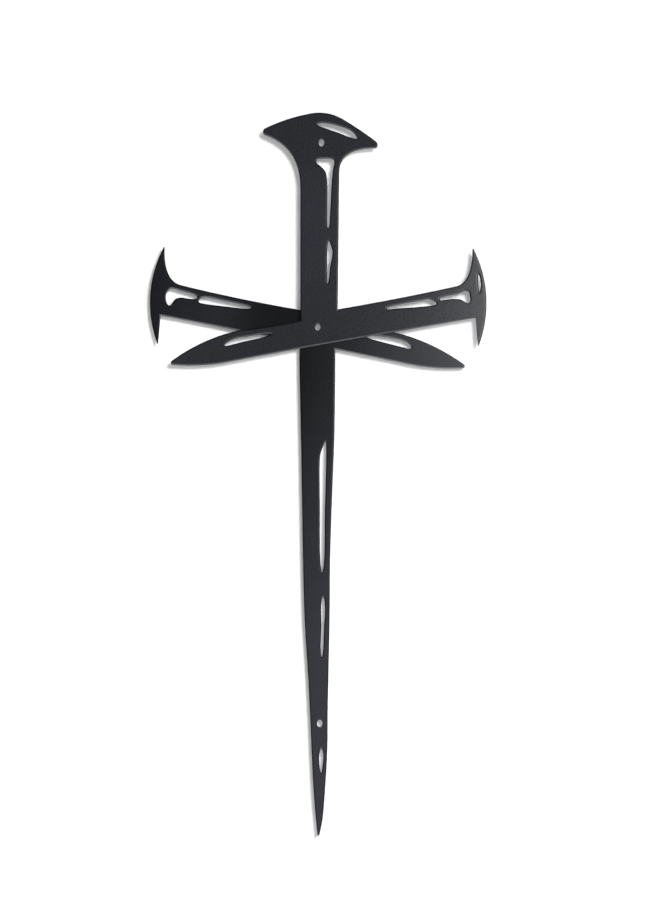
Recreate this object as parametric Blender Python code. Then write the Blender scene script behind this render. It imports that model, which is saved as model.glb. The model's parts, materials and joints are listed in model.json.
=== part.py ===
# A wall cross of three nails, cut from two flat steel plates and coated satin black.
# The front plate is the head and upper shank of the upright in one piece with the whole nail that points
# down to the left. The back plate is the whole nail that points down to the right, in one piece with the
# lower shank. X runs to the right and Z up, the front faces -Y, and the wall lies at Y = 0. The origin is
# on the back face, at the point where the three nails' axes cross.
import math

import bmesh
import bpy
from mathutils import Vector

# Driving dimensions, in metres and degrees

# Sheet and coat
plate_thickness = 0.0032
plate_gap = 0.0003          # between the two plates, which are welded face to face
coat_color = (0.028, 0.029, 0.033, 1.0)
coat_roughness = 0.45

# Screw holes, a little taller than wide
screw_hole_width = 0.0052
screw_hole_height = 0.0070
crossing_hole_rise = 0.0077
crossing_hole_shift = -0.0005   # to the right of the upright's axis
head_hole_rise = 0.1639
head_hole_shift = 0.0026
point_hole_drop = 0.3267
point_hole_shift = 0.0011

# Side nails, each in a frame of its own: along its axis from the crossing to the head, and up across it
right_tilt = 12.1           # how far the head is turned up
left_tilt = 12.9
hub_reach = 0.0200          # crossing to the bend in a nail's edges, on the head's side
waist_reach = 0.0120        # and on the point's side
shoulder_reach = 0.0625
belly_reach = 0.0740
waist_bow = 0.0009          # how far the upper edge is hollow between waist and shoulder
right_nail = {
    "head_reach": 0.1415,       # crossing to the upper horn's tip
    "upper_horn": 0.0450,       # axis to each horn's tip
    "lower_horn": 0.0354,
    "horn_setback": 0.0127,     # lower horn behind the upper one
    "horn_width": 0.0010,       # across the rounded tip
    "crown_bow": 0.0084,
    "sweep_setback": 0.0069,    # upper horn's tip to the corner that the sweep under it is drawn towards
    "neck_setback": 0.0206,     # upper horn's tip to the end of that sweep
    "notch_setback": 0.0102,    # upper horn's tip to the inner corner under the head
    "upper_at_neck": 0.0172,
    "upper_at_hub": 0.0189,
    "upper_at_waist": 0.0161,
    "upper_at_shoulder": 0.0188,
    "upper_bow": 0.0006,        # how far the upper edge is hollow between neck and hub
    "lower_at_notch": 0.0122,
    "lower_at_hub": 0.0071,
    "lower_at_belly": 0.0058,
    "point_reach": 0.1244,      # crossing to the end of the point
    "point_rise": 0.0033,
    "point_width": 0.0034,      # across the rounded end
    "point_bow": 0.0034,
}
left_nail = {
    "head_reach": 0.1423,
    "upper_horn": 0.0452,
    "lower_horn": 0.0354,
    "horn_setback": 0.0129,
    "horn_width": 0.0009,
    "crown_bow": 0.0086,
    "sweep_setback": 0.0060,
    "neck_setback": 0.0214,
    "notch_setback": 0.0101,
    "upper_at_neck": 0.0171,
    "upper_at_hub": 0.0189,
    "upper_at_waist": 0.0161,
    "upper_at_shoulder": 0.0180,
    "upper_bow": 0.0009,
    "lower_at_notch": 0.0118,
    "lower_at_hub": 0.0072,
    "lower_at_belly": 0.0060,
    "point_reach": 0.1238,
    "point_rise": 0.0026,
    "point_width": 0.0034,
    "point_bow": 0.0030,
}

# Upright nail, from its axis to each side
top_left_horn = 0.0450
top_right_horn = 0.0482
top_left_horn_rise = 0.1761
top_right_horn_rise = 0.1649
top_horn_width = 0.0055
top_horn_bulge = 0.0013       # how far a horn's blunt end stands out
top_peak_shift = 0.0084       # the corner that the rounded peak is drawn towards
top_peak_rise = 0.1909
top_peak_reach = 0.0134       # how far the rounding reaches down each side from there
top_left_crown_bow = 0.0026
top_right_crown_bow = 0.0010
top_left_neck_rise = 0.1260
top_right_neck_rise = 0.1385
top_left_sweep_drop = 0.0105  # left horn's tip to the corner that the sweep under it is drawn towards
upper_shank_left = 0.0152
upper_shank_right_at_neck = 0.0174
upper_shank_right_at_hub = 0.0158
lower_shank_right = 0.0147    # the line that the lower slots follow, at the crossing
lower_shoulder_right = 0.0066 # and at the shoulder
lower_shoulder_drop = 0.3700
bottom_drop = 0.4203          # crossing to the bottom point
bottom_width = 0.0018

# Where the edges of the hand-drawn lower shank run: how far down, and how far out
left_edge_stations = ((0.0200, 0.0160), (0.1000, 0.0144), (0.1900, 0.0129), (0.2400, 0.0115),
                      (0.2970, 0.0080), (0.3700, 0.0048), (0.4000, 0.0028))
right_edge_stations = ((0.0200, 0.0141), (0.0790, 0.0135), (0.1440, 0.0111), (0.1930, 0.0097),
                       (0.2290, 0.0095), (0.3150, 0.0078), (0.3480, 0.0075), (0.3840, 0.0055),
                       (0.4080, 0.0034))

# Slots. Each lies beside an edge of its nail, at a rim's width from it. It starts at a distance along that
# edge, and its depth is how far it reaches in from the rim.
right_flare_slot = {"from_horn": 0.0108, "length": 0.0255, "rim": 0.0052, "depth": 0.0109}
right_blade_slot = {"bridge": 0.0033, "length": 0.0413, "rim": 0.0059, "depth": 0.0062}
right_head_slot = {"from_horn": 0.0458, "length": 0.0163, "rim": 0.0027, "depth": 0.0026}
right_point_slot = {"from_waist": 0.0255, "length": 0.0404, "rim": 0.0064, "depth": 0.0049}
left_hook_slot = {"from_horn": 0.0102, "length": 0.0260, "rim": 0.0047, "depth": 0.0141}
left_blade_slot = {"bridge": 0.0018, "length": 0.0438, "rim": 0.0056, "depth": 0.0058}
left_point_slot = {"from_waist": 0.0264, "length": 0.0386, "rim": 0.0052, "depth": 0.0064}
crown_slot = {"from_horn": 0.0145, "length": 0.0360, "rim": 0.0049, "depth": 0.0099}
neck_slot = {"from_hole": 0.0138, "length": 0.0592, "rim": 0.0044, "depth": 0.0152}
leaf_slot = {"bridge": 0.0103, "length": 0.0366, "rim": 0.0050, "depth": 0.0041}
long_slot = {"from_hub": 0.0890, "length": 0.1103, "rim": 0.0060, "depth": 0.0052}
middle_slot = {"bridge": 0.0211, "length": 0.0503, "rim": 0.0042, "depth": 0.0030}
bottom_slot = {"from_hole": 0.0213, "length": 0.0203, "rim": 0.0029, "depth": 0.0032}

# Form of each slot as nodes of a smooth closed curve, in shares of its length and depth
right_flare_form = ((0.00, 0.30), (0.01, 0.13), (0.12, 0.00), (0.34, 0.10), (0.84, 0.12), (0.98, 0.20),
                    (0.98, 0.33), (0.57, 0.43), (0.34, 0.57), (0.19, 0.83), (0.10, 1.00), (0.03, 0.90))
right_blade_form = ((0.00, 0.93), (0.01, 0.63), (0.12, 0.06), (0.27, 0.02), (0.79, 0.00), (0.99, 0.10),
                    (0.99, 0.31), (0.80, 0.47), (0.45, 0.77), (0.07, 1.00))
right_head_form = ((0.00, 0.90), (0.36, 0.25), (0.62, 0.04), (0.85, 0.00), (1.00, 0.18), (0.80, 0.62),
                   (0.55, 0.92), (0.20, 1.00))
right_point_form = ((0.00, 0.21), (0.22, 0.58), (0.53, 0.74), (0.84, 0.95), (0.98, 1.00), (0.99, 0.85),
                    (0.88, 0.32), (0.72, 0.01), (0.51, 0.00), (0.20, 0.02))
left_hook_form = ((0.00, 0.40), (0.04, 0.19), (0.11, 0.00), (0.43, 0.00), (0.94, 0.10), (1.00, 0.21),
                  (0.90, 0.33), (0.48, 0.40), (0.31, 0.57), (0.25, 0.84), (0.18, 1.00), (0.08, 0.87))
left_blade_form = ((0.00, 0.78), (0.04, 0.26), (0.11, 0.04), (0.50, 0.00), (0.94, 0.10), (1.00, 0.25),
                   (0.93, 0.45), (0.56, 0.72), (0.09, 1.00), (0.02, 0.96))
left_point_form = ((0.00, 0.40), (0.16, 0.15), (0.40, 0.03), (0.72, 0.02), (0.90, 0.24), (1.00, 0.70),
                   (0.98, 0.96), (0.84, 0.93), (0.40, 0.76), (0.06, 0.56))
crown_form = ((0.00, 0.24), (0.19, 0.00), (0.41, 0.09), (0.75, 0.42), (0.94, 0.72), (1.00, 0.95),
              (0.95, 1.00), (0.78, 0.92), (0.43, 0.68), (0.19, 0.52), (0.04, 0.34))
neck_form = ((0.05, 0.98), (0.01, 0.92), (0.00, 0.77), (0.00, 0.14), (0.02, 0.02), (0.06, 0.00),
             (0.16, 0.07), (0.44, 0.14), (0.72, 0.18), (0.99, 0.26), (0.98, 0.31), (0.70, 0.335),
             (0.31, 0.365), (0.18, 0.48), (0.11, 0.72))
leaf_form = ((0.00, 0.74), (0.10, 0.33), (0.23, 0.00), (0.38, 0.06), (0.61, 0.43), (0.86, 0.60),
             (1.00, 0.85), (0.80, 0.98), (0.44, 1.00), (0.12, 0.98))
long_form = ((0.00, 0.15), (0.02, 0.07), (0.24, 0.00), (0.53, 0.03), (0.94, 0.01), (1.00, 0.25),
             (0.91, 0.56), (0.50, 0.82), (0.14, 1.00), (0.08, 0.86))
middle_form = ((0.00, 0.63), (0.03, 0.30), (0.24, 0.00), (0.50, 0.17), (0.89, 0.27), (1.00, 0.57),
               (0.92, 0.87), (0.47, 0.90), (0.06, 1.00))
bottom_form = ((0.00, 0.54), (0.14, 0.14), (0.35, 0.00), (0.72, 0.14), (1.00, 0.45), (0.81, 0.82),
               (0.20, 1.00))

# Smoothness
arc_steps = 24
sweep_steps = 12
round_steps = 6
node_steps = 4              # between two nodes of a smooth curve
hole_steps = 32


# Curves in a plane. Outlines run anticlockwise, so what stands out lies to the right of the way.

def mixed(first, second, share):
    return first + (second - first) * share


def turned(vector, angle):
    return Vector((vector.x * math.cos(angle) - vector.y * math.sin(angle),
                   vector.x * math.sin(angle) + vector.y * math.cos(angle)))


def arc_centre(start, end, bow):
    """The centre and radius of the round arc from start to end whose middle stands out by bow."""
    half = (end - start).length / 2
    radius = (half * half + bow * bow) / (2 * bow)
    out = Vector((end.y - start.y, start.x - end.x)).normalized()
    return mixed(start, end, 0.5) + out * (bow - radius), radius


def bowed(start, end, bow, steps):
    """Points on that arc, or on one hollowed by as much where bow is negative."""
    centre, radius = arc_centre(start, end, bow)
    turn = 2 * math.asin(min(1, (end - start).length / 2 / abs(radius))) * math.copysign(1, bow)
    return [centre + turned(start - centre, turn * step / steps) for step in range(steps + 1)]


def swept(start, corner, end):
    """Points on the curve that leaves start towards the corner and reaches end from it."""
    points = []
    for step in range(sweep_steps + 1):
        share = step / sweep_steps
        points.append(mixed(mixed(start, corner, share), mixed(corner, end, share), share))
    return points


def smooth_stretch(before, start, end, after):
    """Points from start towards end on a smooth curve whose speed follows the root of the nodes' spacing."""
    lead, span, trail = (math.sqrt(step.length) for step in (start - before, end - start, after - end))
    leaving = (start - before) / lead - (end - before) / (lead + span) + (end - start) / span
    arriving = (end - start) / span - (after - start) / (span + trail) + (after - end) / trail
    points = []
    for step in range(node_steps):
        t = step / node_steps
        points.append((2 * t ** 3 - 3 * t ** 2 + 1) * start + (t ** 3 - 2 * t ** 2 + t) * span * leaving
                      + (3 * t ** 2 - 2 * t ** 3) * end + (t ** 3 - t ** 2) * span * arriving)
    return points


def smooth_loop(nodes):
    points = []
    for number in range(len(nodes)):
        points += smooth_stretch(*(nodes[(number + shift) % len(nodes)] for shift in (-1, 0, 1, 2)))
    return points


def smooth_line(nodes):
    """Points on the same kind of curve from the first node to the last."""
    framed = [2 * nodes[0] - nodes[1]] + nodes + [2 * nodes[-1] - nodes[-2]]
    points = []
    for number in range(len(nodes) - 1):
        points += smooth_stretch(*framed[number:number + 4])
    return points + [nodes[-1]]


# Rails. A rail gives the point at a distance along an edge and a depth in from it.

def line_rail(start, end, side=1):
    """A straight rail whose plate lies to its left, or to its right where side is -1."""
    along = (end - start).normalized()
    inward = Vector((-along.y, along.x)) * side
    return lambda distance, depth: start + along * distance + inward * depth


def arc_rail(start, end, bow):
    centre, radius = arc_centre(start, end, bow)
    ray = (start - centre).normalized()
    return lambda distance, depth: centre + turned(ray, distance / radius) * (radius - depth)


def arc_length(start, end, bow):
    radius = arc_centre(start, end, bow)[1]
    return 2 * radius * math.asin((end - start).length / 2 / radius)


def slot_loop(rail, start, slot, form):
    return smooth_loop([rail(start + slot["length"] * along, slot["rim"] + slot["depth"] * across)
                        for along, across in form])


def hole_loop(centre):
    points = []
    for step in range(hole_steps):
        angle = 2 * math.pi * step / hole_steps
        across = Vector((screw_hole_width * math.cos(angle), screw_hole_height * math.sin(angle)))
        points.append(centre + across / 2)
    return points


# Side nails

def head_tips(nail):
    """The middles of the lower and the upper horn's rounded tips."""
    return (Vector((nail["head_reach"] - nail["horn_setback"], -nail["lower_horn"])),
            Vector((nail["head_reach"], nail["upper_horn"])))


def upper_edge(nail):
    """The nail's neck, hub, waist and shoulder, along its upper edge."""
    return (Vector((nail["head_reach"] - nail["neck_setback"], nail["upper_at_neck"])),
            Vector((hub_reach, nail["upper_at_hub"])), Vector((-waist_reach, nail["upper_at_waist"])),
            Vector((-shoulder_reach, nail["upper_at_shoulder"])))


def side_outline(nail):
    """The outline of a side nail, anticlockwise from its neck, with its head at the right."""
    neck, hub, waist, shoulder = upper_edge(nail)
    lower_tip, upper_tip = head_tips(nail)
    half_horn = Vector((nail["horn_width"] / 2, 0))
    point_top = Vector((-nail["point_reach"], nail["point_rise"] + nail["point_width"] / 2))
    point_bottom = Vector((point_top.x + nail["point_width"] / 4, point_top.y - nail["point_width"]))
    belly = Vector((-belly_reach, -nail["lower_at_belly"]))
    belly_corner = Vector((-(belly_reach + nail["point_reach"]) / 2, -nail["lower_at_belly"]))
    under_hub = Vector((-waist_reach, -nail["lower_at_hub"]))
    notch = Vector((nail["head_reach"] - nail["notch_setback"], -nail["lower_at_notch"]))
    sweep_corner = Vector((nail["head_reach"] - nail["sweep_setback"], nail["upper_at_neck"]))
    outline = bowed(neck, hub, -nail["upper_bow"], sweep_steps)
    outline += bowed(waist, shoulder, -waist_bow, sweep_steps)
    outline += bowed(shoulder, point_top, nail["point_bow"], arc_steps)[1:]
    outline += bowed(point_top, point_bottom, nail["point_width"] / 3, round_steps)[1:]
    outline += swept(point_bottom, belly_corner, belly)[1:]
    outline += [under_hub, notch]
    outline += bowed(lower_tip - half_horn, lower_tip + half_horn, half_horn.x, round_steps)
    outline += bowed(lower_tip + half_horn, upper_tip + half_horn, nail["crown_bow"], arc_steps)[1:]
    outline += bowed(upper_tip + half_horn, upper_tip - half_horn, half_horn.x, round_steps)[1:]
    outline += swept(upper_tip - half_horn, sweep_corner, neck)[1:-1]
    return outline


def placed(points, tilt, side):
    """Points of a side nail, its head turned up by the tilt, at the right or, with a side of -1, the left."""
    risen = [turned(point, math.radians(tilt)) for point in points]
    if side > 0:
        return risen
    return [Vector((-point.x, point.y)) for point in reversed(risen)]


def right_slots():
    """The slots of the nail whose head is at the right, in the nail's own frame."""
    neck, hub, waist, shoulder = upper_edge(right_nail)
    upper = line_rail(neck, hub)
    crown = arc_rail(*head_tips(right_nail), right_nail["crown_bow"])
    point_edge = line_rail(waist, shoulder)
    flare_start = right_flare_slot["from_horn"] - right_nail["neck_setback"]
    blade_start = flare_start + right_flare_slot["length"] + right_blade_slot["bridge"]
    return [slot_loop(upper, flare_start, right_flare_slot, right_flare_form),
            slot_loop(upper, blade_start, right_blade_slot, right_blade_form),
            slot_loop(crown, right_head_slot["from_horn"], right_head_slot, right_head_form),
            slot_loop(point_edge, right_point_slot["from_waist"], right_point_slot, right_point_form)]


def left_slots():
    neck, hub, waist, shoulder = upper_edge(left_nail)
    upper = line_rail(neck, hub)
    point_edge = line_rail(waist, shoulder)
    hook_start = left_hook_slot["from_horn"] - left_nail["neck_setback"]
    blade_start = hook_start + left_hook_slot["length"] + left_blade_slot["bridge"]
    return [slot_loop(upper, hook_start, left_hook_slot, left_hook_form),
            slot_loop(upper, blade_start, left_blade_slot, left_blade_form),
            slot_loop(point_edge, left_point_slot["from_waist"], left_point_slot, left_point_form)]


# Upright nail

top_left_tip = Vector((-top_left_horn, top_left_horn_rise))
top_right_tip = Vector((top_right_horn, top_right_horn_rise))
top_peak = Vector((top_peak_shift, top_peak_rise))
top_right_neck = Vector((upper_shank_right_at_neck, top_right_neck_rise))
top_right_hub = Vector((upper_shank_right_at_hub, hub_reach))
lower_right_hub = Vector((lower_shank_right, 0))
lower_right_shoulder = Vector((lower_shoulder_right, -lower_shoulder_drop))


def crown_edge():
    """The crown from the right horn's tip over its rounded peak to the left horn's."""
    rise = arc_rail(top_right_tip, top_peak, top_right_crown_bow)
    fall = arc_rail(top_peak, top_left_tip, top_left_crown_bow)
    rise_length = arc_length(top_right_tip, top_peak, top_right_crown_bow) - top_peak_reach
    fall_length = arc_length(top_peak, top_left_tip, top_left_crown_bow) - top_peak_reach
    rising = [rise(rise_length * step / arc_steps, 0) for step in range(arc_steps + 1)]
    falling = [fall(top_peak_reach + fall_length * step / arc_steps, 0) for step in range(arc_steps + 1)]
    return rising + swept(rising[-1], top_peak, falling[0])[1:-1] + falling


def upper_branch():
    """The upright above the crossing, from inside the crossing up its right edge and down its left."""
    left_in = top_left_tip - Vector((0, top_horn_width))
    right_in = top_right_tip - Vector((0, top_horn_width))
    left_neck = Vector((-upper_shank_left, top_left_neck_rise))
    left_corner = Vector((-upper_shank_left, left_in.y - top_left_sweep_drop))
    right_corner = Vector((upper_shank_right_at_neck, right_in.y))
    branch = [Vector((upper_shank_right_at_hub, 0))]
    branch += swept(right_in, right_corner, top_right_neck)[::-1]
    branch += bowed(right_in, top_right_tip, top_horn_bulge, round_steps)[1:]
    branch += crown_edge()[1:]
    branch += bowed(top_left_tip, left_in, top_horn_bulge, round_steps)[1:]
    branch += swept(left_in, left_corner, left_neck)[1:]
    branch += [Vector((-upper_shank_left, 0))]
    return branch


def lower_branch():
    """The upright below the crossing, from inside the crossing down its left edge and up its right."""
    left_edge = [Vector((-out, -drop)) for drop, out in left_edge_stations]
    right_edge = [Vector((out, -drop)) for drop, out in right_edge_stations]
    bottom_left = Vector((-bottom_width / 2, -bottom_drop))
    bottom_right = Vector((bottom_width / 2, -bottom_drop))
    branch = [Vector((left_edge[0].x, 0))]
    branch += smooth_line(left_edge + [bottom_left])
    branch += bowed(bottom_left, bottom_right, bottom_width / 2, round_steps)[1:]
    branch += smooth_line(right_edge + [bottom_right])[-2::-1]
    branch += [Vector((right_edge[0].x, 0))]
    return branch


def upper_slots():
    crown = arc_rail(top_right_tip, top_peak, top_right_crown_bow)
    right_edge = line_rail(top_right_neck, top_right_hub, side=-1)
    neck_start = top_right_neck_rise - head_hole_rise + neck_slot["from_hole"]
    leaf_start = neck_start + neck_slot["length"] + leaf_slot["bridge"]
    return [slot_loop(crown, crown_slot["from_horn"], crown_slot, crown_form),
            slot_loop(right_edge, neck_start, neck_slot, neck_form),
            slot_loop(right_edge, leaf_start, leaf_slot, leaf_form)]


def lower_slots():
    right_edge = line_rail(lower_right_hub, lower_right_shoulder, side=-1)
    middle_start = long_slot["from_hub"] + long_slot["length"] + middle_slot["bridge"]
    bottom_start = point_hole_drop + bottom_slot["from_hole"]
    return [slot_loop(right_edge, long_slot["from_hub"], long_slot, long_form),
            slot_loop(right_edge, middle_start, middle_slot, middle_form),
            slot_loop(right_edge, bottom_start, bottom_slot, bottom_form)]


def meeting(first_start, first_end, second_start, second_end):
    """Where two stretches of line cross, or None."""
    first = first_end - first_start
    second = second_end - second_start
    area = first.x * second.y - first.y * second.x
    if area == 0:
        return None
    between = second_start - first_start
    share = (between.x * second.y - between.y * second.x) / area
    other = (between.x * first.y - between.y * first.x) / area
    return first_start + first * share if 0 <= share <= 1 and 0 <= other <= 1 else None


def way_out(outline, inner, outer):
    """The number of the outline's stretch that the way from inner to outer crosses, and where."""
    for number, start in enumerate(outline):
        point = meeting(start, outline[(number + 1) % len(outline)], inner, outer)
        if point is not None:
            return number, point
    raise ValueError("a branch doesn't leave its nail")


def grown(outline, branch):
    """A nail's closed outline with a branch, whose two ends lie inside it, grown into it as one outline."""
    leave, leave_point = way_out(outline, branch[0], branch[1])
    join, join_point = way_out(outline, branch[-1], branch[-2])
    kept = (leave - join) % len(outline)
    around = [outline[(join + 1 + step) % len(outline)] for step in range(kept)]
    return around + [leave_point] + branch[1:-1] + [join_point]


# Plates

def plate_object(name, loops, front, material):
    """A flat plate whose outline and openings are the loops, with its front face at this Y."""
    mesh = bpy.data.meshes.new(name)
    plate = bmesh.new()
    for loop in loops:
        corners = [plate.verts.new((point.x, 0, point.y)) for point in loop]
        for number, corner in enumerate(corners):
            plate.edges.new((corner, corners[(number + 1) % len(corners)]))
    bmesh.ops.triangle_fill(plate, edges=plate.edges, use_beauty=True, normal=(0, -1, 0))
    raised = bmesh.ops.extrude_face_region(plate, geom=plate.faces)
    back = [element for element in raised["geom"] if isinstance(element, bmesh.types.BMVert)]
    bmesh.ops.translate(plate, verts=back, vec=(0, plate_thickness, 0))
    bmesh.ops.recalc_face_normals(plate, faces=plate.faces)
    plate.to_mesh(mesh)
    plate.free()
    mesh.materials.append(material)
    result = bpy.data.objects.new(name, mesh)
    result.location.y = front
    bpy.context.collection.objects.link(result)
    return result


def coat_material(name):
    material = bpy.data.materials.new(name)
    material.use_nodes = True
    shader = material.node_tree.nodes["Principled BSDF"]
    shader.inputs["Base Color"].default_value = coat_color
    shader.inputs["Roughness"].default_value = coat_roughness
    shader.inputs["Metallic"].default_value = 0.0
    return material


def build():
    for old in list(bpy.data.objects):
        bpy.data.objects.remove(old, do_unlink=True)
    crossing_hole = hole_loop(Vector((crossing_hole_shift, crossing_hole_rise)))
    head_hole = hole_loop(Vector((head_hole_shift, head_hole_rise)))
    point_hole = hole_loop(Vector((point_hole_shift, -point_hole_drop)))
    front_outline = grown(placed(side_outline(right_nail), right_tilt, 1), upper_branch())
    front_loops = [front_outline, crossing_hole, head_hole] + upper_slots()
    front_loops += [placed(slot, right_tilt, 1) for slot in right_slots()]
    back_outline = grown(placed(side_outline(left_nail), left_tilt, -1), lower_branch())
    back_loops = [back_outline, crossing_hole, point_hole] + lower_slots()
    back_loops += [placed(slot, left_tilt, -1) for slot in left_slots()]
    plate_object("back_plate", back_loops, -plate_thickness, coat_material("back_coat"))
    plate_object("front_plate", front_loops, -2 * plate_thickness - plate_gap, coat_material("front_coat"))


build()
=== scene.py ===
import json
import math

import bmesh
import bpy
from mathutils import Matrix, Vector


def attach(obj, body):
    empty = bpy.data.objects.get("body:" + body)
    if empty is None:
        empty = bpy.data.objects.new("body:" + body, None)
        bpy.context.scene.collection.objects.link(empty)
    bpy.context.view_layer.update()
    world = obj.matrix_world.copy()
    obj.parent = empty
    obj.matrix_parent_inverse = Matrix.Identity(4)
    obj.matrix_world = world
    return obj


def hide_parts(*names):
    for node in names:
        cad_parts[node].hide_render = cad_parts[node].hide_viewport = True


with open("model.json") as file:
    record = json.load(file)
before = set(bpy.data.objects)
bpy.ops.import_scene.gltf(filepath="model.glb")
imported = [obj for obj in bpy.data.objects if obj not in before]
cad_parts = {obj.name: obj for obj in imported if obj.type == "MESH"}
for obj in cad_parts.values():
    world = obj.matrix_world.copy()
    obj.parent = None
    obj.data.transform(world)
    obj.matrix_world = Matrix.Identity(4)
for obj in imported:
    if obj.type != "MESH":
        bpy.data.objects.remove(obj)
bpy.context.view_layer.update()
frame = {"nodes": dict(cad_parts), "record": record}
print("frame: nodes", sorted(frame["nodes"]))

# the cross hangs flat: X to the right, Z up, the front faces -Y and the wall is at +Y


# small helpers for shader trees

def addNode(tree, kind, **settings):
    node = tree.nodes.new(kind)
    for name, value in settings.items():
        setattr(node, name, value)
    return node


def join(tree, source, target):
    # source is a socket or a plain value, target an input socket
    if isinstance(source, bpy.types.NodeSocket):
        tree.links.new(source, target)
    else:
        target.default_value = source


def maths(tree, operation, first, second=0.0):
    node = addNode(tree, "ShaderNodeMath", operation=operation)
    join(tree, first, node.inputs[0])
    join(tree, second, node.inputs[1])
    return node.outputs[0]


def ranged(tree, value, low, high, newLow=0.0, newHigh=1.0, soft=False):
    node = addNode(tree, "ShaderNodeMapRange", clamp=True)
    node.interpolation_type = "SMOOTHSTEP" if soft else "LINEAR"
    for name, setting in (("Value", value), ("From Min", low), ("From Max", high),
                          ("To Min", newLow), ("To Max", newHigh)):
        join(tree, setting, node.inputs[name])
    return node.outputs["Result"]


def noise(tree, vector, size, detail=2.0, roughness=0.5):
    # size is the width of one lump, in metres
    node = addNode(tree, "ShaderNodeTexNoise")
    join(tree, vector, node.inputs["Vector"])
    join(tree, maths(tree, "DIVIDE", 1.0, size), node.inputs["Scale"])
    join(tree, detail, node.inputs["Detail"])
    join(tree, roughness, node.inputs["Roughness"])
    return node.outputs["Fac"]


def newGroup(name, inputs, outputs):
    tree = bpy.data.node_groups.new(name, "ShaderNodeTree")
    for label, kind in inputs:
        tree.interface.new_socket(name=label, in_out="INPUT", socket_type="NodeSocket" + kind)
    for label, kind in outputs:
        tree.interface.new_socket(name=label, in_out="OUTPUT", socket_type="NodeSocket" + kind)
    return tree, tree.nodes.new("NodeGroupInput").outputs, tree.nodes.new("NodeGroupOutput").inputs


def useGroup(tree, group, **values):
    node = addNode(tree, "ShaderNodeGroup", node_tree=group)
    for label, value in values.items():
        join(tree, value, node.inputs[label])
    return node.outputs


# powder coat: soft orange peel, fine grain, broad mottling and a few raised specks

grit = {
    "peelRoughness": 0.45,
    "grainRoughness": 0.6,
    "mottleSize": 0.03,
    "spread": (0.3, 0.7),         # the noise values that count as none and as all
    "speckScale": 260.0,
    "speckEdge": (0.04, 0.12),    # from a speck's top to its foot
}


def powderCoatGroup():
    tree, given, out = newGroup(
        "powderCoat", [("Place", "Vector"), ("PeelSize", "Float"), ("GrainSize", "Float")],
        [("Peel", "Float"), ("Grain", "Float"), ("Mottle", "Float"), ("Specks", "Float")])
    peel = noise(tree, given["Place"], given["PeelSize"], roughness=grit["peelRoughness"])
    grain = noise(tree, given["Place"], given["GrainSize"], 3.0, grit["grainRoughness"])
    mottle = noise(tree, given["Place"], grit["mottleSize"], 4.0, grit["grainRoughness"])
    cells = addNode(tree, "ShaderNodeTexVoronoi", feature="F1")
    join(tree, given["Place"], cells.inputs["Vector"])
    cells.inputs["Scale"].default_value = grit["speckScale"]
    join(tree, peel, out["Peel"])
    join(tree, ranged(tree, grain, *grit["spread"]), out["Grain"])
    join(tree, ranged(tree, mottle, *grit["spread"]), out["Mottle"])
    join(tree, ranged(tree, cells.outputs["Distance"], *grit["speckEdge"], 1.0, 0.0), out["Specks"])
    return tree


# the cut edge under the coat: masks for the rounded rim and for the sides and undersides, which the tone uses
# for painted shade and painted light, and fine marks

cut = {
    "under": (-0.55, -0.12),       # the normal's Z, from wholly an underside to none
    "side": (0.05, 0.35),          # the normal's Y, from wholly a side to none
    "rim": (0.80, 0.99),           # the same, from wholly a rim to none
    "squeeze": (1.0, 0.12, 1.0),   # draws the marks out through the sheet
    "markSize": 0.0005,
}


def cutEdgeGroup():
    tree, given, out = newGroup("cutEdge", [("Place", "Vector"), ("Facing", "Vector")],
                                [("Side", "Float"), ("Rim", "Float"), ("Marks", "Float")])
    facing = addNode(tree, "ShaderNodeSeparateXYZ")
    join(tree, given["Facing"], facing.inputs[0])
    turned = maths(tree, "ABSOLUTE", facing.outputs["Y"])
    under = ranged(tree, facing.outputs["Z"], *cut["under"], 1.0, 0.0)
    side = maths(tree, "MAXIMUM", ranged(tree, turned, *cut["side"], 1.0, 0.0), under)
    rim = ranged(tree, turned, *cut["rim"], 1.0, 0.0)
    squeezed = addNode(tree, "ShaderNodeVectorMath", operation="MULTIPLY")
    join(tree, given["Place"], squeezed.inputs[0])
    squeezed.inputs[1].default_value = cut["squeeze"]
    marks = noise(tree, squeezed.outputs[0], cut["markSize"])
    join(tree, side, out["Side"])
    join(tree, rim, out["Rim"])
    join(tree, marks, out["Marks"])
    return tree


# painted shade and sheen: how pale the coat is along the upright by height, and along the side nails by
# distance to the right; on the back sheet it is painted darker around the crossing, as shade from the front
# sheet, and paler towards the right

nailsFrom = {
    "across": (0.012, 0.030),     # the side nails' tone takes over this far from the upright's axis
    "height": (0.08, 0.10),       # and gives way again above this
}


def stops(tree, value, points):
    low = points[0][0]
    high = points[-1][0]
    node = addNode(tree, "ShaderNodeValToRGB")
    node.color_ramp.interpolation = "B_SPLINE"
    elements = node.color_ramp.elements
    while len(elements) < len(points):
        elements.new(0.5)
    for number, (where, _) in enumerate(points):
        elements[number].position = (where - low) / (high - low)
    for number, (_, share) in enumerate(points):
        elements[number].color = (share, share, share, 1.0)
    join(tree, ranged(tree, value, low, high), node.inputs["Fac"])
    return node.outputs["Color"]


def paintedShadeAndSheen(tree, place, finish):
    axes = addNode(tree, "ShaderNodeSeparateXYZ")
    join(tree, place, axes.inputs[0])
    across = axes.outputs["X"]
    height = axes.outputs["Z"]
    upright = maths(tree, "ADD", stops(tree, height, finish["upright"]),
                    maths(tree, "MULTIPLY", across, finish["uprightRise"]))
    sideNailShade = stops(tree, across, finish["sideNailShade"])
    outside = ranged(tree, maths(tree, "ABSOLUTE", across), *nailsFrom["across"], soft=True)
    below = ranged(tree, height, *nailsFrom["height"], 1.0, 0.0, soft=True)
    mix = addNode(tree, "ShaderNodeMix", data_type="FLOAT")
    join(tree, maths(tree, "MULTIPLY", outside, below), mix.inputs["Factor"])
    join(tree, upright, mix.inputs["A"])
    join(tree, sideNailShade, mix.inputs["B"])
    return mix.outputs["Result"]


coatGroup = powderCoatGroup()
edgeGroup = cutEdgeGroup()

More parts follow.
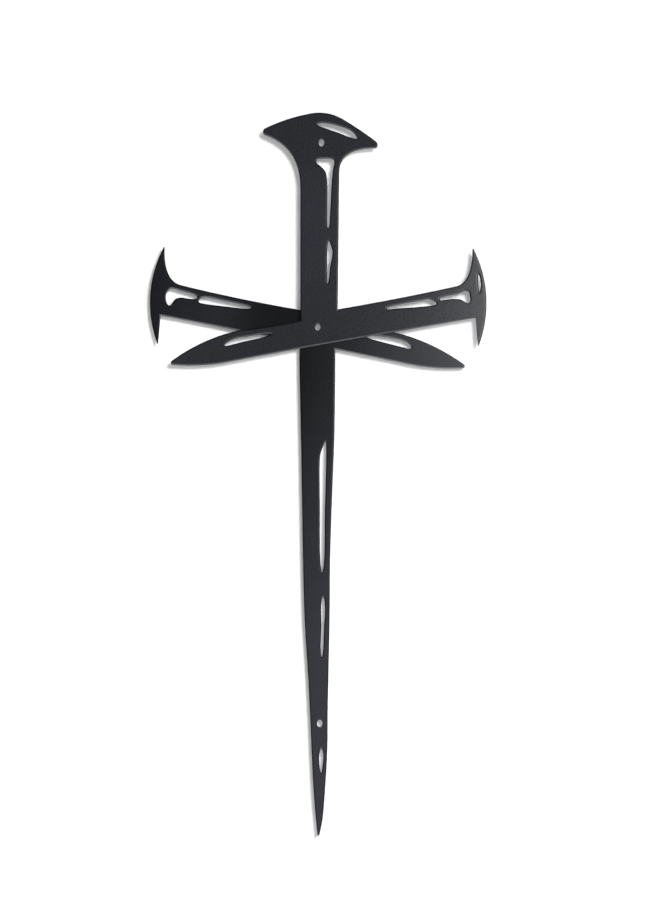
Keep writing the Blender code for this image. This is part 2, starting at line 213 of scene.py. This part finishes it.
frontCoat = {
    "deep": (0.0010, 0.0011, 0.0014),
    "pale": (0.0335, 0.0350, 0.0430),
    "edge": (0.0015, 0.0016, 0.0020),     # on the rounded edges: painted shade, darker than the face
    "rimShadeShare": 0.95,
    "side": (0.0900, 0.0920, 0.0980),     # on the cut sides and undersides: painted light, as from the floor below and the wall behind
    # painted shade and sheen: shares of the pale tone by height and by distance to the right
    "upright": ((-0.05, 0.40), (0.02, 0.42), (0.06, 0.52), (0.13, 0.53), (0.15, 0.38), (0.20, 0.38)),
    "uprightRise": 0.0,                   # painted shade and sheen: paler by this share for each metre to the right
    "sideNailShade": ((-0.14, 0.60), (-0.09, 0.48), (-0.03, 0.42), (0.03, 0.44), (0.07, 0.52), (0.15, 0.60)),
    "mottle": 0.06,                       # share of the tone that varies over the broad patches
    "grainTone": 0.04,                    # and over the fine grain
    "roughness": 0.29,
    "roughnessSpread": 0.04,
    "peelSize": 0.0021,
    "grainSize": 0.0008,
    "peelDepth": 0.000010,
    "grainDepth": 0.000003,
    "speckDepth": 0.000003,
    "markDepth": 0.00002,
    "specular": 0.34,
    "edgeSpecular": 0.10,                 # the rounded edges and the sides are duller
}
backCoat = dict(
    frontCoat,
    # painted light, paler still, as the light bounced from the nearby wall
    side=(0.1400, 0.1420, 0.1480),
    # painted shade, darkest around the crossing where the front sheet shades the back sheet, and painted
    # sheen towards the right
    upright=((-0.42, 0.88), (-0.30, 0.88), (-0.22, 0.69), (-0.14, 0.45), (-0.08, 0.24), (-0.02, 0.06)),
    uprightRise=6.0,
    sideNailShade=((-0.14, 0.12), (-0.115, 0.27), (-0.085, 0.34), (-0.065, 0.20), (-0.045, 0.02), (-0.02, 0.0),
              (0.03, 0.24), (0.065, 0.64), (0.15, 0.76)),
)


def coatMaterial(name, finish, specular):
    material = bpy.data.materials.new(name)
    material.use_nodes = True
    tree = material.node_tree
    shader = tree.nodes["Principled BSDF"]
    place = addNode(tree, "ShaderNodeTexCoord").outputs["Object"]
    facing = addNode(tree, "ShaderNodeNewGeometry").outputs["Normal"]
    coat = useGroup(tree, coatGroup, Place=place, PeelSize=finish["peelSize"], GrainSize=finish["grainSize"])
    edge = useGroup(tree, edgeGroup, Place=place, Facing=facing)

    # tone: painted shade and sheen by place, then mottled and grained; painted shade on the rounded edges and
    # painted light on the cut sides and undersides
    pale = paintedShadeAndSheen(tree, place, finish)
    for mask, spread in ((coat["Mottle"], finish["mottle"]), (coat["Grain"], finish["grainTone"])):
        pale = maths(tree, "MULTIPLY", pale, ranged(tree, mask, 0.0, 1.0, 1 - spread, 1 + spread))
    tone = (*finish["deep"], 1.0)
    # the rounded edges take the painted shade and the sides and undersides the painted light
    for share, shade in ((pale, "pale"), (maths(tree, "MULTIPLY", edge["Rim"], finish["rimShadeShare"]), "edge"),
                         (edge["Side"], "side")):
        layer = addNode(tree, "ShaderNodeMix", data_type="RGBA")
        join(tree, share, layer.inputs["Factor"])
        join(tree, tone, layer.inputs["A"])
        layer.inputs["B"].default_value = (*finish[shade], 1.0)
        tone = layer.outputs["Result"]
    join(tree, tone, shader.inputs["Base Color"])

    # gloss: the grain breaks it up
    gloss = ranged(tree, coat["Grain"], 0.0, 1.0, finish["roughness"] - finish["roughnessSpread"],
                   finish["roughness"] + finish["roughnessSpread"])
    join(tree, gloss, shader.inputs["Roughness"])
    shader.inputs["Specular IOR Level"].default_value = specular

    # relief: orange peel, grain and specks everywhere, cut marks on the sides
    relief = maths(tree, "MULTIPLY", coat["Peel"], finish["peelDepth"])
    marks = maths(tree, "MULTIPLY", edge["Marks"], edge["Side"])
    for height, depth in ((coat["Grain"], "grainDepth"), (coat["Specks"], "speckDepth"),
                          (marks, "markDepth")):
        relief = maths(tree, "ADD", relief, maths(tree, "MULTIPLY", height, finish[depth]))
    bump = addNode(tree, "ShaderNodeBump")
    bump.inputs["Distance"].default_value = 1.0
    join(tree, relief, bump.inputs["Height"])
    join(tree, bump.outputs["Normal"], shader.inputs["Normal"])
    return material


def coatMaterials(name, finish):
    # one for the flat faces and one for the edges
    return (coatMaterial(name, finish, finish["specular"]),
            coatMaterial(name + "Edge", finish, finish["edgeSpecular"]))


frontMaterials = coatMaterials("frontCoat", frontCoat)
backMaterials = coatMaterials("backCoat", backCoat)
print("materials: powder coat for the front and the back sheet")


# the two sheets, with the edges that the coat rounds off

sheet = {
    "frontRound": 0.0014,     # radius of the edges towards the viewer
    "frontSteps": 6,
    "backRound": 0.0003,
    "backSteps": 2,
    "roundShare": 0.8,        # of the room that a narrow tip or web leaves
    "taper": 0.5,             # how fast the radius may change along an edge
    "longestMitre": 1.8,
    "edgeFrom": 0.985,        # a face counts as an edge where its normal's Y is less than this
    "holeReach": 0.0045,      # a corner this close to a screw hole's middle is on its rim
    "holeCoat": 0.00035,      # the coat builds up on the walls of the screw holes
    "holeLip": 0.0005,        # and rounds their lips
    "flatFrom": 0.9,          # a face counts as flat, and is built anew, where its normal's Y is more
    "weld": 0.000005,         # corners this close are one
    "rimSlack": 0.00001,      # a corner this close to the face's level is on its rim
    "leastDepth": 0.00002,    # what lies less deep than this takes no room from the radius
    "straightAngle": 0.2,     # degrees: edges that turn less are taken out of the solid's mesh
    "fillAngle": 0.5,         # and out of the new faces
    "sharpAngle": 35,
}
holeMiddles = []
for opening in frame["record"]["physics"]["openings"]:
    low, high = opening["box_m"]
    holeMiddles.append(Vector(((low[0] + high[0]) / 2, 0, (low[2] + high[2]) / 2)))


def toHole(place):
    # the way to the middle of the screw hole whose rim this place is on, or None
    for middle in holeMiddles:
        way = Vector((middle.x - place.x, 0, middle.z - place.z))
        if way.length < sheet["holeReach"]:
            return way.normalized()
    return None


def rimRadii(places, inward, wanted):
    # the radius that each corner of the rim has room for, easing off towards narrow tips and webs
    fits = []
    for here, into in zip(places, inward):
        way = into.normalized()
        room = wanted / sheet["roundShare"]
        for there in places:
            across = there - here
            depth = across.dot(way)
            if depth > sheet["leastDepth"]:
                room = min(room, across.length_squared / (2 * depth))
        fits.append(min(room * sheet["roundShare"], sheet["holeLip"] if toHole(here) else wanted))
    return [min(fit + sheet["taper"] * (there - here).length for there, fit in zip(places, fits))
            for here in places]


def roundRim(shape, towards, wanted, steps):
    # turns the open rim on one side of the sheet into a rounded edge, and closes the face inside it
    start = shape.verts.layers.float_vector["start"]
    inward = shape.verts.layers.float_vector["inward"]
    radius = shape.verts.layers.float["radius"]
    level = max(corner.co.y * towards for corner in shape.verts) - sheet["rimSlack"]
    rim = [edge for edge in shape.edges
           if edge.is_boundary and all(corner.co.y * towards > level for corner in edge.verts)]
    walls = {}
    for edge in rim:
        for corner in edge.verts:
            walls.setdefault(corner, []).append(-edge.link_faces[0].normal)
    for corner, (first, second) in walls.items():
        mitre = (first + second) / (1 + first.dot(second))
        corner[inward] = mitre * min(1, sheet["longestMitre"] / mitre.length)
        corner[start] = corner.co
    corners = list(walls)
    radii = rimRadii([corner.co.copy() for corner in corners], [corner[inward] for corner in corners], wanted)
    for corner, fit in zip(corners, radii):
        corner[radius] = fit
    for step in range(steps + 1):
        if step > 0:
            grown = bmesh.ops.extrude_edge_only(shape, edges=rim)["geom"]
            rim = [part for part in grown if isinstance(part, bmesh.types.BMEdge) and part.is_boundary]
            corners = {corner for edge in rim for corner in edge.verts}
        angle = math.pi / 2 * step / steps
        for corner in corners:
            into = corner[inward] * (1 - math.cos(angle))
            back = Vector((0, -towards, 0)) * (1 - math.sin(angle))
            corner.co = corner[start] + (into + back) * corner[radius]
    filled = bmesh.ops.triangle_fill(shape, edges=rim, use_beauty=True, normal=(0, towards, 0))["geom"]
    inner = [part for part in filled if isinstance(part, bmesh.types.BMEdge) and part not in rim]
    bmesh.ops.dissolve_limit(shape, angle_limit=math.radians(sheet["fillAngle"]), edges=inner)


def roundedSheet(name, node, materials):
    mesh = frame["nodes"][node].data.copy()
    mesh.name = name
    mesh.materials.clear()
    for material in materials:
        mesh.materials.append(material)
    shape = bmesh.new()
    shape.from_mesh(mesh)
    bmesh.ops.remove_doubles(shape, verts=shape.verts, dist=sheet["weld"])
    bmesh.ops.dissolve_limit(shape, angle_limit=math.radians(sheet["straightAngle"]),
                             verts=shape.verts, edges=shape.edges)
    for label in ("start", "inward"):
        shape.verts.layers.float_vector.new(label)
    shape.verts.layers.float.new("radius")
    flats = [face for face in shape.faces if abs(face.normal.y) > sheet["flatFrom"]]
    bmesh.ops.delete(shape, geom=flats, context="FACES")
    for corner in shape.verts:
        way = toHole(corner.co)
        if way:
            corner.co += way * sheet["holeCoat"]
    shape.normal_update()
    roundRim(shape, -1, sheet["frontRound"], sheet["frontSteps"])
    roundRim(shape, 1, sheet["backRound"], sheet["backSteps"])
    for label in ("start", "inward"):
        shape.verts.layers.float_vector.remove(shape.verts.layers.float_vector[label])
    shape.verts.layers.float.remove(shape.verts.layers.float["radius"])
    bmesh.ops.recalc_face_normals(shape, faces=shape.faces)
    for face in shape.faces:
        face.material_index = 1 if abs(face.normal.y) < sheet["edgeFrom"] else 0
    shape.to_mesh(mesh)
    shape.free()
    piece = bpy.data.objects.new(name, mesh)
    bpy.context.scene.collection.objects.link(piece)
    mesh.shade_smooth()
    mesh.set_sharp_from_angle(angle=math.radians(sheet["sharpAngle"]))
    even = piece.modifiers.new("evenShading", "WEIGHTED_NORMAL")
    even.keep_sharp = True
    even.weight = 100
    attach(piece, "root")
    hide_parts(node)


roundedSheet("frontSheet", "front_plate", frontMaterials)
roundedSheet("backSheet", "back_plate", backMaterials)
print("sheets: rounded front and back sheet")


# the wall behind the cross and a pale floor

room = {
    "wallGap": 0.007,         # from the back of the cross to the wall
    "wallSide": 3.0,
    "wallTone": (0.86, 0.86, 0.86, 1.0),
    "wallGlow": 0.20,         # evens out the shade behind the cross
    "floorDrop": 1.35,        # the cross hangs this high
    "floorSide": 6.0,
    "floorTone": (0.78, 0.77, 0.75, 1.0),
    "floorGlow": 0.25,        # keeps the floor pale, because the lamps graze it
    "floorAhead": 1.0,        # its middle, this far in front of the cross
    "paintRoughness": 0.9,
}


def flatStage(name, side, material, place, facing):
    mesh = bpy.data.meshes.new(name)
    shape = bmesh.new()
    bmesh.ops.create_grid(shape, x_segments=1, y_segments=1, size=side / 2)
    turn = Vector(facing).to_track_quat("Z", "Y").to_matrix()
    bmesh.ops.rotate(shape, verts=shape.verts, matrix=turn)
    bmesh.ops.translate(shape, verts=shape.verts, vec=place)
    shape.to_mesh(mesh)
    shape.free()
    mesh.materials.append(material)
    item = bpy.data.objects.new(name, mesh)
    bpy.context.scene.collection.objects.link(item)


def paint(name, tone, glow):
    material = bpy.data.materials.new(name)
    material.use_nodes = True
    shader = material.node_tree.nodes["Principled BSDF"]
    shader.inputs["Base Color"].default_value = tone
    shader.inputs["Roughness"].default_value = room["paintRoughness"]
    shader.inputs["Specular IOR Level"].default_value = 0.0
    shader.inputs["Emission Color"].default_value = (1.0, 1.0, 1.0, 1.0)
    shader.inputs["Emission Strength"].default_value = glow
    return material


def seeThroughBehind(material):
    # nothing from behind and no shadow from it, so that the back of the cross can be seen and lit
    tree = material.node_tree
    behind = addNode(tree, "ShaderNodeNewGeometry").outputs["Backfacing"]
    shadow = addNode(tree, "ShaderNodeLightPath").outputs["Is Shadow Ray"]
    mix = addNode(tree, "ShaderNodeMixShader")
    join(tree, maths(tree, "MAXIMUM", behind, shadow), mix.inputs["Fac"])
    join(tree, tree.nodes["Principled BSDF"].outputs["BSDF"], mix.inputs[1])
    join(tree, addNode(tree, "ShaderNodeBsdfTransparent").outputs["BSDF"], mix.inputs[2])
    join(tree, mix.outputs["Shader"], tree.nodes["Material Output"].inputs["Surface"])


wallPaint = paint("wallPaint", room["wallTone"], room["wallGlow"])
seeThroughBehind(wallPaint)
flatStage("wall", room["wallSide"], wallPaint, (0, room["wallGap"], 0), (0, -1, 0))
floorPaint = paint("floorPaint", room["floorTone"], room["floorGlow"])
seeThroughBehind(floorPaint)
flatStage("floor", room["floorSide"], floorPaint, (0, -room["floorAhead"], -room["floorDrop"]), (0, 0, 1))
print("stage: wall and floor")


# light: a soft lamp from the upper right, a room that is darker above and at the left, and a side panel

light = {
    "sunWay": (-0.275, 1.0, -0.10),
    "sunStrength": 2.75,
    "sunAngle": 0.26,         # radians across
    "roomTone": (0.94, 0.98, 1.06, 1.0),
    "roomStrength": 0.29,
    "roomAbove": -0.30,       # weaker by this well above
    "roomRight": 0.45,
    "roomLeft": -0.28,
    "aboveFrom": (0.15, 0.6),     # and the directions between which each of these sets in
    "rightFrom": (0.2, 0.9),
    "leftFrom": (-0.2, -0.7),
    "backdrop": 0.80,         # how bright the room looks behind the cross, seen from the sides and the back
    "panelEdge": 0.18,        # the panel starts this far right of the cross's middle
    "panelAhead": 0.35,
    "panelRise": 0.08,
    "panelSize": (0.25, 0.30),
    "panelPower": 3.5,
    "backWay": (0.25, -1.0, -0.35),
    "backStrength": 2.0,
    "backAngle": 0.5,
}


def lamp(name, kind, way, place=(0, 0, 0)):
    item = bpy.data.objects.new(name, bpy.data.lights.new(name, kind))
    item.location = place
    item.rotation_euler = Vector(way).to_track_quat("-Z", "Y").to_euler()
    item.visible_camera = False
    bpy.context.scene.collection.objects.link(item)
    return item


sun = lamp("mainLamp", "SUN", light["sunWay"])
sun.data.energy = light["sunStrength"]
sun.data.angle = light["sunAngle"]
sun.visible_glossy = False

backSun = lamp("backLamp", "SUN", light["backWay"])
backSun.data.energy = light["backStrength"]
backSun.data.angle = light["backAngle"]

panelPlace = (light["panelEdge"] + light["panelSize"][0] / 2, -light["panelAhead"], light["panelRise"])
panel = lamp("sidePanel", "AREA", (0, 1, 0), panelPlace)
panel.data.shape = "RECTANGLE"
panel.data.size, panel.data.size_y = light["panelSize"]
panel.data.energy = light["panelPower"]
panel.visible_diffuse = False     # it only shows as gloss on the coat

world = bpy.data.worlds.new("room")
world.use_nodes = True
sky = world.node_tree
way = addNode(sky, "ShaderNodeSeparateXYZ")
join(sky, addNode(sky, "ShaderNodeTexCoord").outputs["Generated"], way.inputs[0])
strength = light["roomStrength"]
for side, axis in (("Above", "Z"), ("Right", "X"), ("Left", "X")):
    reach = light[side.lower() + "From"]
    change = ranged(sky, way.outputs[axis], *reach, 0.0, light["room" + side])
    strength = maths(sky, "ADD", strength, change)
strength = maths(sky, "MAXIMUM", strength, 0.0)
seen = addNode(sky, "ShaderNodeLightPath").outputs["Is Camera Ray"]
background = sky.nodes["Background"]
background.inputs["Color"].default_value = light["roomTone"]
join(sky, ranged(sky, seen, 0.0, 1.0, strength, light["backdrop"]), background.inputs["Strength"])
bpy.context.scene.world = world
bpy.context.scene.view_settings.view_transform = "Standard"
print("light: main lamp, back lamp, side panel, room")


# camera, from the front and 10 degrees below, as the photograph was taken

view = {
    "target": (0.00966, 0.0, -0.0954),
    "below": 10.0,
    "distance": 24.0,         # a long lens, because the photograph shows hardly any perspective
    "frameHeight": 0.7497,    # what the picture takes in at the target
    "filmSize": 36.0,
    "clipShare": 3,           # the camera sees this many times as far as its target
}

lens = bpy.data.cameras.new("camera")
camera = bpy.data.objects.new("camera", lens)
bpy.context.scene.collection.objects.link(camera)
lens.sensor_width = view["filmSize"]
lens.sensor_fit = "AUTO"
lens.lens = view["filmSize"] * view["distance"] / view["frameHeight"]
lens.clip_end = view["clipShare"] * view["distance"]
below = math.radians(view["below"])
camera.location = Vector(view["target"]) - Vector((0, math.cos(below), math.sin(below))) * view["distance"]
camera.rotation_euler = (math.radians(90) + below, 0, 0)
bpy.context.scene.camera = camera
